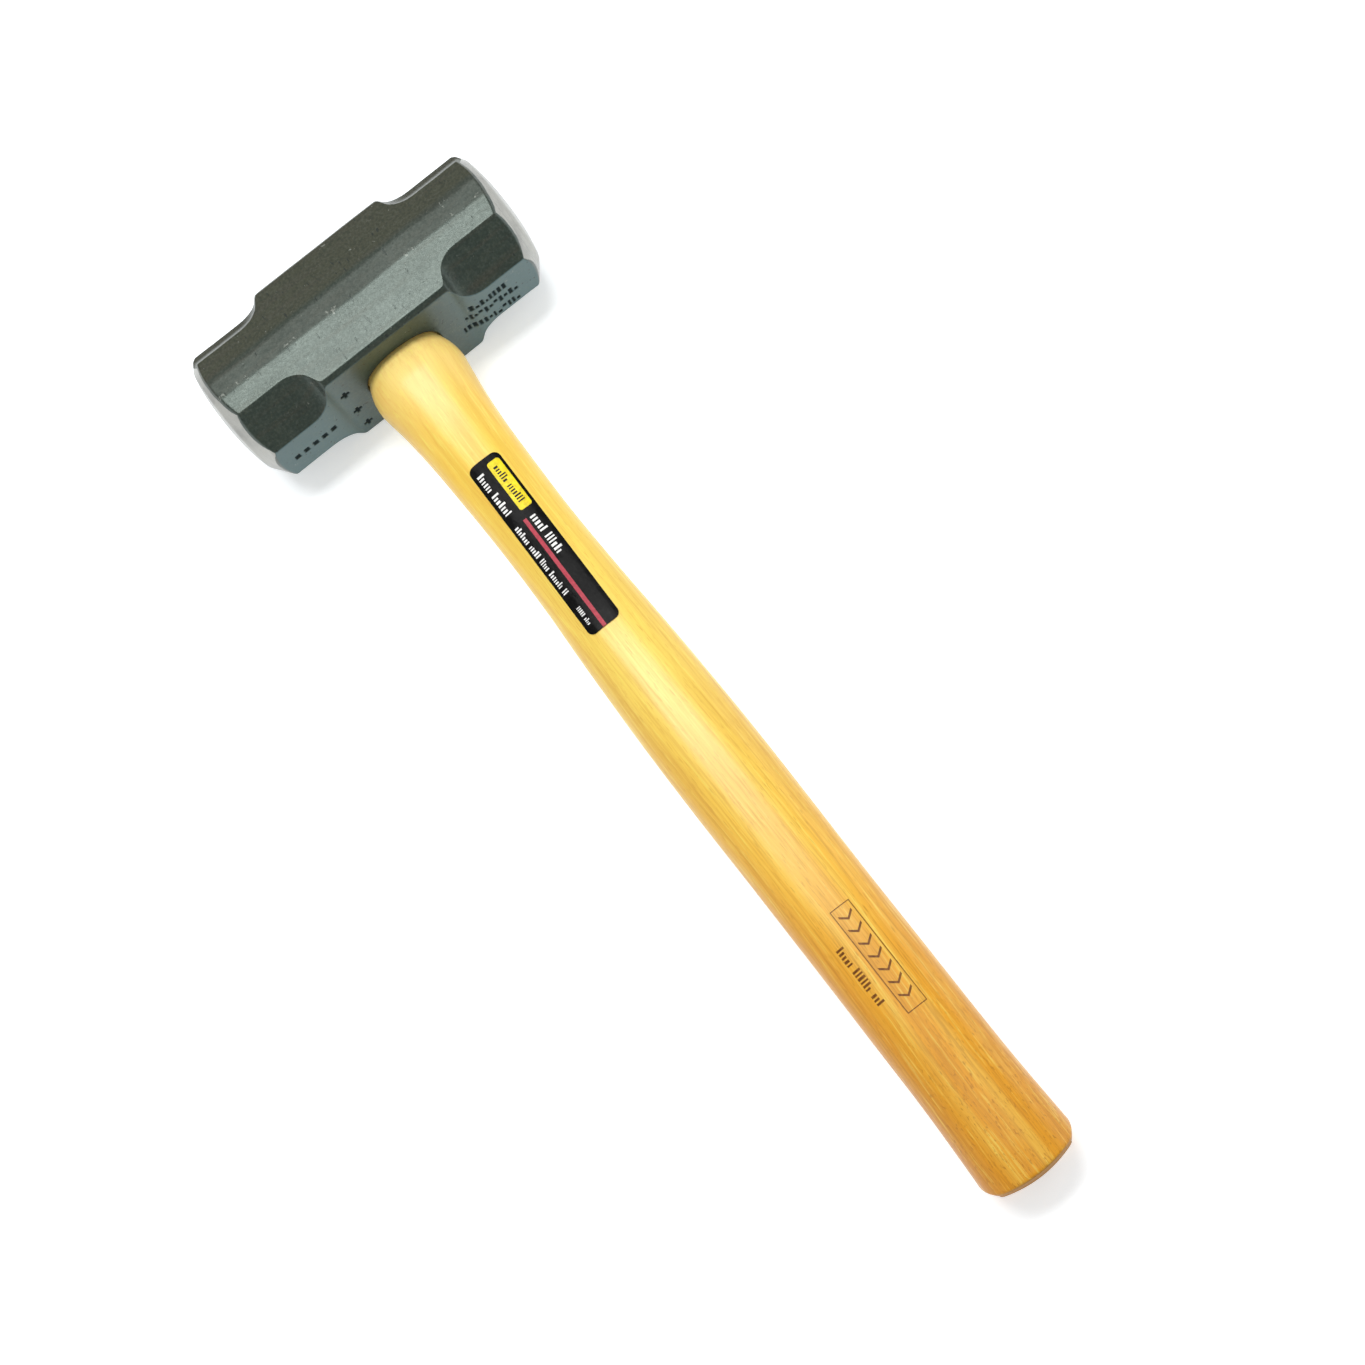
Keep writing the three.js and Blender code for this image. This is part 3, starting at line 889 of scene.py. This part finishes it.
def enamel_colour(g, point, streaks, specks, scratches, stamp):
    """Grey-green, olive above, worn on the strip, with a painted teal reflection under the head, dark in
    the marks.
    """
    x, y, z = g.split(point)
    patches = g.noise(point, 240, 4, 0.6)
    enamel = g.ramp(patches, [(0.30, (0.017, 0.027, 0.021)), (0.52, (0.023, 0.034, 0.026)),
                              (0.72, (0.033, 0.044, 0.033))])
    enamel = g.mix(g.span(y, STRIP, STRIP + 3 * MM, 0.0, 0.75), enamel, (0.046, 0.042, 0.021))
    worn = g.math("MULTIPLY", g.span(g.math("ABSOLUTE", y), STRIP + MM, STRIP - 0.5 * MM),
                  g.span(z, 20 * MM, 24 * MM))
    enamel = g.mix(g.math("MULTIPLY", worn, g.span(patches, 0.35, 0.65, 0.45, 0.65)), enamel,
                   (0.055, 0.056, 0.045))
    enamel = g.mix(g.span(streaks, 0.45, 0.75, 0.0, 0.6), enamel, (0.043, 0.036, 0.024))
    grit = g.noise(point, 1100, 3, 0.6)
    enamel = g.mix(g.span(grit, 0.52, 0.36, 0.0, 0.5), enamel, (0.010, 0.015, 0.011))
    enamel = g.mix(g.span(grit, 0.50, 0.68, 0.0, 0.3), enamel, (0.080, 0.090, 0.076))
    # Painted reflection: a lighter teal on the faces under the head stands in for reflected light, weaker
    # towards the handle.
    far_x = g.math("ABSOLUTE", x)
    painted_teal_reflection = g.math("MULTIPLY", g.attribute("under"), g.span(far_x, 18 * MM, 34 * MM, 0.35, 0.95))
    enamel = g.mix(painted_teal_reflection, enamel, (0.050, 0.105, 0.118))
    enamel = g.mix(g.math("MULTIPLY", specks, 0.7), enamel, (0.25, 0.26, 0.23))
    enamel = g.mix(g.math("MULTIPLY", scratches, 0.8), enamel, (0.008, 0.011, 0.010))
    return g.mix(g.math("MULTIPLY", stamp, 0.9), enamel, (0.003, 0.006, 0.007))


def turning_marks(g, point):
    """Fine rings left by the lathe, about the turned axis."""
    x, y, z = g.split(point)
    offset_y = g.math("SUBTRACT", y, TURNED_OFFSET)
    squares = g.math("ADD", g.math("MULTIPLY", offset_y, offset_y), g.math("MULTIPLY", z, z))
    radius = g.math("SQRT", squares)
    rings = g.join(g.math("MULTIPLY", radius, 3200.0), g.math("MULTIPLY", x, 3200.0), 0.0)
    return g.noise(rings, 1.0, 3)


def steel_colour(g, point, turned):
    steel = g.ramp(turned, [(0.3, (0.28, 0.274, 0.252)), (0.7, (0.40, 0.392, 0.360))])
    smudge = g.noise(point, 120, 3)
    return g.mix(g.span(smudge, 0.42, 0.70, 0.0, 0.55), steel, (0.20, 0.197, 0.187))


def head_gloss(g, shader, point, bare, streaks, turned, stamp):
    """Satin enamel, duller on the upper chamfers and in the marks, and brighter bare steel."""
    x, y = g.split(point)[:2]
    painted_roughness = g.span(g.math("MULTIPLY_ADD", streaks, 0.5, g.noise(point, 900, 3)),
                               0.5, 1.0, 0.33, 0.40)
    painted_roughness = g.math("MULTIPLY_ADD", stamp, 0.4, painted_roughness)
    dull = g.math("MULTIPLY", g.span(y, END_TOP - CORNER_Y_TOP, END_TOP - 0.5 * CORNER_Y_TOP),
                  g.span(g.math("ABSOLUTE", x), RUN_OUT_INNER, RUN_OUT_OUTER, 0.0, 0.42))
    painted_roughness = g.math("ADD", painted_roughness, dull)
    shine = g.math("SUBTRACT", g.math("MULTIPLY_ADD", stamp, -0.42, 0.5), dull)
    g.link(g.math("MAXIMUM", shine, 0.05), shader.inputs["Specular IOR Level"])
    g.link(g.mix(bare, (0.86, 1.0, 0.92), (1.0, 1.0, 1.0)), shader.inputs["Specular Tint"])
    steel_roughness = g.span(turned, 0.3, 0.7, 0.24, 0.42)
    difference = g.math("SUBTRACT", steel_roughness, painted_roughness)
    g.link(g.math("MULTIPLY_ADD", bare, difference, painted_roughness), shader.inputs["Roughness"])


def head_relief(g, shader, point, bare, turned, specks, scratches):
    """The forged skin under the enamel, with pits, and the lathe's rings on the steel."""
    skin = g.math("ADD", g.math("MULTIPLY", g.noise(point, 600, 3, 0.55), 0.42),
                  g.math("MULTIPLY", g.noise(point, 1900, 2, 0.5), 0.26))
    skin = g.math("MULTIPLY_ADD", scratches, -0.4, skin)
    skin = g.math("MULTIPLY_ADD", specks, 0.3, skin)
    pits = g.span(g.cells(point, 190), 0.03, 0.13)
    skin = g.math("ADD", skin, g.math("MULTIPLY", pits, 0.25))
    painted_height = g.math("MULTIPLY", skin, g.math("SUBTRACT", 1.0, bare))
    steel_height = g.math("MULTIPLY", g.math("MULTIPLY", turned, bare), 0.10)
    height = g.math("ADD", painted_height, steel_height)
    g.link(g.bump(height, 0.09 * MM, 0.8), shader.inputs["Normal"])


def head_material():
    """Grey-green enamel over a forged skin, ground off the turned bevels and faces."""
    material, shader = new_material("head_enamel")
    g = Graph(material)
    point = g.hammer_point()
    ragged = g.span(g.noise(point, 900, 2), 0.3, 0.7, -0.12, 0.12)
    bare = g.span(g.math("ADD", g.attribute("bare"), ragged), 0.35, 0.6)
    stamp = g.attribute("stamp")
    streaks = g.noise(g.stretch(point, (22, 330, 330)), 1.0, 3)
    turned = turning_marks(g, point)
    specks, scratches = enamel_flaws(g, point)
    enamel = enamel_colour(g, point, streaks, specks, scratches, stamp)
    g.link(g.mix(bare, enamel, steel_colour(g, point, turned)), shader.inputs["Base Color"])
    shader.inputs["IOR"].default_value = 1.6
    g.link(g.math("MULTIPLY", bare, 0.95), shader.inputs["Metallic"])
    head_gloss(g, shader, point, bare, streaks, turned, stamp)
    head_relief(g, shader, point, bare, turned, specks, scratches)
    return material


WOODS = {
    # colours by position along the handle, from the butt (0) to the head (1), dark grain, roughness
    "hickory": ([
        (0.00, (0.740, 0.320, 0.012)), (0.06, (0.770, 0.340, 0.015)), (0.15, (0.810, 0.370, 0.020)),
        (0.21, (0.850, 0.410, 0.030)), (0.28, (0.930, 0.530, 0.062)), (0.36, (0.930, 0.590, 0.080)),
        (0.50, (0.930, 0.680, 0.125)), (0.62, (0.930, 0.680, 0.120)), (0.75, (0.930, 0.640, 0.090)),
        (0.80, (0.930, 0.640, 0.120)), (0.87, (0.920, 0.710, 0.230)), (1.00, (0.880, 0.710, 0.340)),
    ], (0.40, 0.14, 0.008), (0.32, 0.44)),
    "wedge": ([(0.0, (0.52, 0.33, 0.15)), (1.0, (0.58, 0.38, 0.19))], (0.22, 0.11, 0.04), (0.5, 0.65)),
}


def wood_material(kind):
    """Straight-grained wood, lacquered on the handle, with the grain along the handle and painted shade
    along its sides.
    """
    stops, dark, (smooth, rough) = WOODS[kind]
    material, shader = new_material(kind)
    g = Graph(material)
    point = g.hammer_point()
    x, y, z = g.split(point)
    length = BUTT_END + TONGUE_TOP
    colour = g.ramp(g.math("MULTIPLY_ADD", y, 1 / length, BUTT_END / length), stops)

    warp = g.noise(g.stretch(point, (14, 5, 14)), 1.0, 2)
    lean = g.join(g.math("MULTIPLY_ADD", warp, 0.012, x), y, g.math("MULTIPLY_ADD", warp, 0.007, z))
    growth = g.noise(g.stretch(lean, (420, 4.5, 260)), 1.0, 3, 0.55, 0.3)
    ring_line = g.span(g.math("ABSOLUTE", g.math("SUBTRACT", growth, 0.5)), 0.0, 0.025, 1.0, 0.0)
    fibres = g.noise(g.stretch(lean, (1150, 26, 1150)), 1.0, 5, 0.68)
    pores = g.noise(g.stretch(lean, (3000, 210, 3000)), 1.0, 2)
    flecks = g.noise(g.stretch(lean, (1500, 420, 1500)), 1.0, 3, 0.6)
    broad = g.noise(g.stretch(lean, (150, 5, 110)), 1.0, 2)

    pale = tuple(min(0.93, c * 1.15 + 0.03) for c in stops[len(stops) // 2][1])
    colour = g.mix(g.span(broad, 0.48, 0.72, 0.0, 0.22), colour, pale)
    colour = g.mix(g.span(broad, 0.34, 0.50, 0.14, 0.0), colour, dark)
    # Painted shade: darker, deeper orange along both sides of the handle, heavier on the left and towards
    # the butt.
    toward_butt = g.span(y, -150 * MM, -368 * MM)
    painted_shade_left = g.math("MULTIPLY", g.span(x, -5 * MM, -16 * MM),
                       g.math("MULTIPLY_ADD", toward_butt, 0.55, 0.30))
    colour = g.mix(painted_shade_left, colour, (0.58, 0.21, 0.005))
    painted_shade_right = g.math("MULTIPLY", g.span(x, 6 * MM, 16 * MM),
                        g.math("MULTIPLY_ADD", toward_butt, 0.25, 0.22))
    colour = g.mix(painted_shade_right, colour, (0.62, 0.27, 0.03))
    colour = g.mix(g.span(fibres, 0.46, 0.34, 0.0, 0.40), colour, pale)
    near_butt = g.span(y, -285 * MM, -345 * MM, 0.0, 1.0)
    grain = g.math("MULTIPLY", ring_line, g.span(fibres, 0.35, 0.65, 0.12, 0.42))
    grain = g.math("MAXIMUM", grain, g.span(fibres, 0.50, 0.68, 0.0, 0.46))
    grain = g.math("MAXIMUM", grain, g.span(pores, 0.60, 0.70, 0.0, 0.50))
    grain = g.math("MAXIMUM", grain, g.math("MULTIPLY", near_butt, g.span(flecks, 0.56, 0.68, 0.0, 0.66)))
    strength = g.span(y, -30 * MM, -310 * MM, 0.45, 1.0)
    grain_colour = g.mix(strength, tuple(2.2 * c + 0.03 for c in dark), dark)
    colour = g.mix(g.math("MULTIPLY", grain, strength), colour, grain_colour)
    end_pores = g.span(g.cells(point, 1500), 0.1, 0.5)
    end_grain = g.mix(end_pores, dark, tuple(0.55 * c for c in stops[0][1]))
    sawn = g.attribute("sawn")
    g.link(g.mix(sawn, colour, end_grain), shader.inputs["Base Color"])
    polish = g.span(fibres, 0.3, 0.7, smooth, rough)
    g.link(g.math("MULTIPLY_ADD", sawn, 0.3, polish), shader.inputs["Roughness"])
    height = g.math("ADD", g.math("MULTIPLY", pores, -0.6), g.math("MULTIPLY", fibres, -0.4))
    g.link(g.bump(height, 0.05 * MM, 0.5), shader.inputs["Normal"])
    if kind == "hickory":
        shader.inputs["Specular IOR Level"].default_value = 0.3
        g.link(g.math("MULTIPLY_ADD", sawn, -0.2, 0.2), shader.inputs["Coat Weight"])
        shader.inputs["Coat Roughness"].default_value = 0.2
    return material


def wedge_steel_material():
    """Rough steel, mottled and scratched along its length."""
    material, shader = new_material("wedge_steel")
    g = Graph(material)
    point = g.hammer_point()
    scratches = g.noise(g.stretch(point, (900, 160, 220)), 1.0, 4)
    mottled = g.noise(point, 420, 4, 0.6)
    colour = g.ramp(mottled, [(0.3, (0.20, 0.19, 0.18)), (0.6, (0.38, 0.37, 0.35)),
                              (0.8, (0.30, 0.22, 0.15))])
    g.link(colour, shader.inputs["Base Color"])
    shader.inputs["Metallic"].default_value = 0.9
    g.link(g.span(scratches, 0.3, 0.7, 0.35, 0.6), shader.inputs["Roughness"])
    g.link(g.bump(g.math("ADD", scratches, mottled), 0.08 * MM, 0.7), shader.inputs["Normal"])
    return material


def print_material(name, colour, roughness, specular=0.3):
    """Printing ink or film: a colour that is a little worn and uneven."""
    material, shader = new_material(name)
    g = Graph(material)
    point = g.hammer_point()
    uneven = g.noise(point, 700, 4, 0.6)
    rub = g.noise(g.stretch(point, (1600, 260, 1600)), 1.0, 3)
    shader.inputs["Specular IOR Level"].default_value = specular
    lighter = tuple(min(1.0, c * 1.25 + 0.003) for c in colour)
    darker = tuple(c * 0.8 for c in colour)
    g.link(g.ramp(uneven, [(0.3, darker), (0.5, colour), (0.75, lighter)]), shader.inputs["Base Color"])
    g.link(g.span(rub, 0.3, 0.75, roughness - 0.07, roughness + 0.13), shader.inputs["Roughness"])
    g.link(g.bump(g.math("ADD", uneven, rub), 0.02 * MM, 0.4), shader.inputs["Normal"])
    return material


def grip_ink_material():
    """Brown ink sunk into the grain, under the lacquer."""
    material, shader = new_material("grip_ink")
    g = Graph(material)
    point = g.hammer_point()
    grain = g.noise(g.stretch(point, (1500, 40, 1500)), 1.0, 3)
    blotch = g.noise(point, 900, 3)
    colour = g.ramp(grain, [(0.35, (0.13, 0.045, 0.006)), (0.65, (0.24, 0.09, 0.012))])
    colour = g.mix(g.span(blotch, 0.5, 0.75, 0.0, 0.5), colour, (0.42, 0.18, 0.025))
    g.link(colour, shader.inputs["Base Color"])
    g.link(g.span(grain, 0.3, 0.7, 0.28, 0.4), shader.inputs["Roughness"])
    shader.inputs["Specular IOR Level"].default_value = 0.2
    return material


def floor_material():
    """A plain pale floor, a little bright of itself."""
    material, shader = new_material("pale_floor")
    g = Graph(material)
    source = material.node_tree.nodes.new("ShaderNodeTexCoord").outputs["Object"]
    colour = g.ramp(g.noise(source, 5, 2), [(0.3, (0.85, 0.88, 0.90)), (0.7, (0.87, 0.90, 0.92))])
    g.link(colour, shader.inputs["Base Color"])
    g.link(colour, shader.inputs["Emission Color"])
    shader.inputs["Emission Strength"].default_value = 0.55
    shader.inputs["Roughness"].default_value = 0.9
    shader.inputs["Specular IOR Level"].default_value = 0.1
    return material


# ---- setting ----

CAMERA_TILT = math.radians(18.63)
CAMERA_ROLL = math.radians(38.17)
CAMERA_YAW = math.radians(-0.23)
CAMERA_DEPTH = 736.0 * MM  # to the middle of the head, along the view
CAMERA_RIGHT = -7.2 * MM
CAMERA_BELOW = 170.1 * MM
LENS = 54.636  # millimetres, on the sensor's width
SENSOR = 36
FLOOR_HALF = 8.0
LIGHT_AIM = Vector((0, 0.05, 0.02))
SIDE_LIGHT_SIZE = (1.2, 0.8)


def add_camera():
    """The camera that sees the hammer from its front, a little from below the head."""
    tilt, roll, yaw = CAMERA_TILT, CAMERA_ROLL, CAMERA_YAW
    back = Vector((math.sin(yaw), -math.sin(tilt) * math.cos(yaw), math.cos(tilt) * math.cos(yaw)))
    up = Vector((0, math.cos(tilt), math.sin(tilt)))
    up = (up - back * up.dot(back)).normalized()
    right = up.cross(back)
    spot = back * CAMERA_DEPTH - right * CAMERA_RIGHT - up * CAMERA_BELOW
    cam_right = right * math.cos(roll) - up * math.sin(roll)
    cam_up = right * math.sin(roll) + up * math.cos(roll)
    local = Matrix((cam_right, cam_up, back)).transposed().to_4x4()
    local.translation = spot
    data = bpy.data.cameras.new("camera")
    data.sensor_width = SENSOR
    data.lens = LENS
    data.clip_start = 0.01
    camera = bpy.data.objects.new("camera", data)
    camera.matrix_world = HAMMER @ local
    bpy.context.scene.collection.objects.link(camera)
    bpy.context.scene.camera = camera


def add_light(name, direction, distance, size, power):
    """A square soft light that looks at the middle of the hammer."""
    data = bpy.data.lights.new(name, "AREA")
    data.shape = "RECTANGLE"
    data.size, data.size_y = size
    data.energy = power
    light = bpy.data.objects.new(name, data)
    towards = Vector(direction).normalized()
    light.location = LIGHT_AIM + towards * distance
    light.rotation_euler = towards.to_track_quat("Z", "Y").to_euler()
    bpy.context.scene.collection.objects.link(light)


def add_setting():
    """The floor, the studio's even light and three soft lamps."""
    half = FLOOR_HALF
    mesh = bpy.data.meshes.new("floor")
    corners = [(-half, -half, 0), (half, -half, 0), (half, half, 0), (-half, half, 0)]
    mesh.from_pydata(corners, [], [(0, 1, 2, 3)])
    mesh.materials.append(floor_material())
    floor = bpy.data.objects.new("floor", mesh)
    bpy.context.scene.collection.objects.link(floor)

    world = bpy.data.worlds.new("studio")
    world.use_nodes = True
    background = world.node_tree.nodes["Background"]
    background.inputs["Color"].default_value = (1, 1, 1, 1)
    background.inputs["Strength"].default_value = 0.36
    bpy.context.scene.world = world
    bpy.context.scene.view_settings.view_transform = "Standard"

    add_light("key", (0.0, 0.25, 0.97), 1.25, (0.75, 0.36), 12)
    for name, side, power in (("left", -1, 1.8), ("right", 1, 4.5)):
        add_light(name, (0.94 * side, 0.05, 0.34), 1.5, SIDE_LIGHT_SIZE, power)


# ---- the whole ----

add_camera()
add_setting()
head_piece()
handle_piece()
wedge_pieces()
label_pieces()
grip_mark_piece()
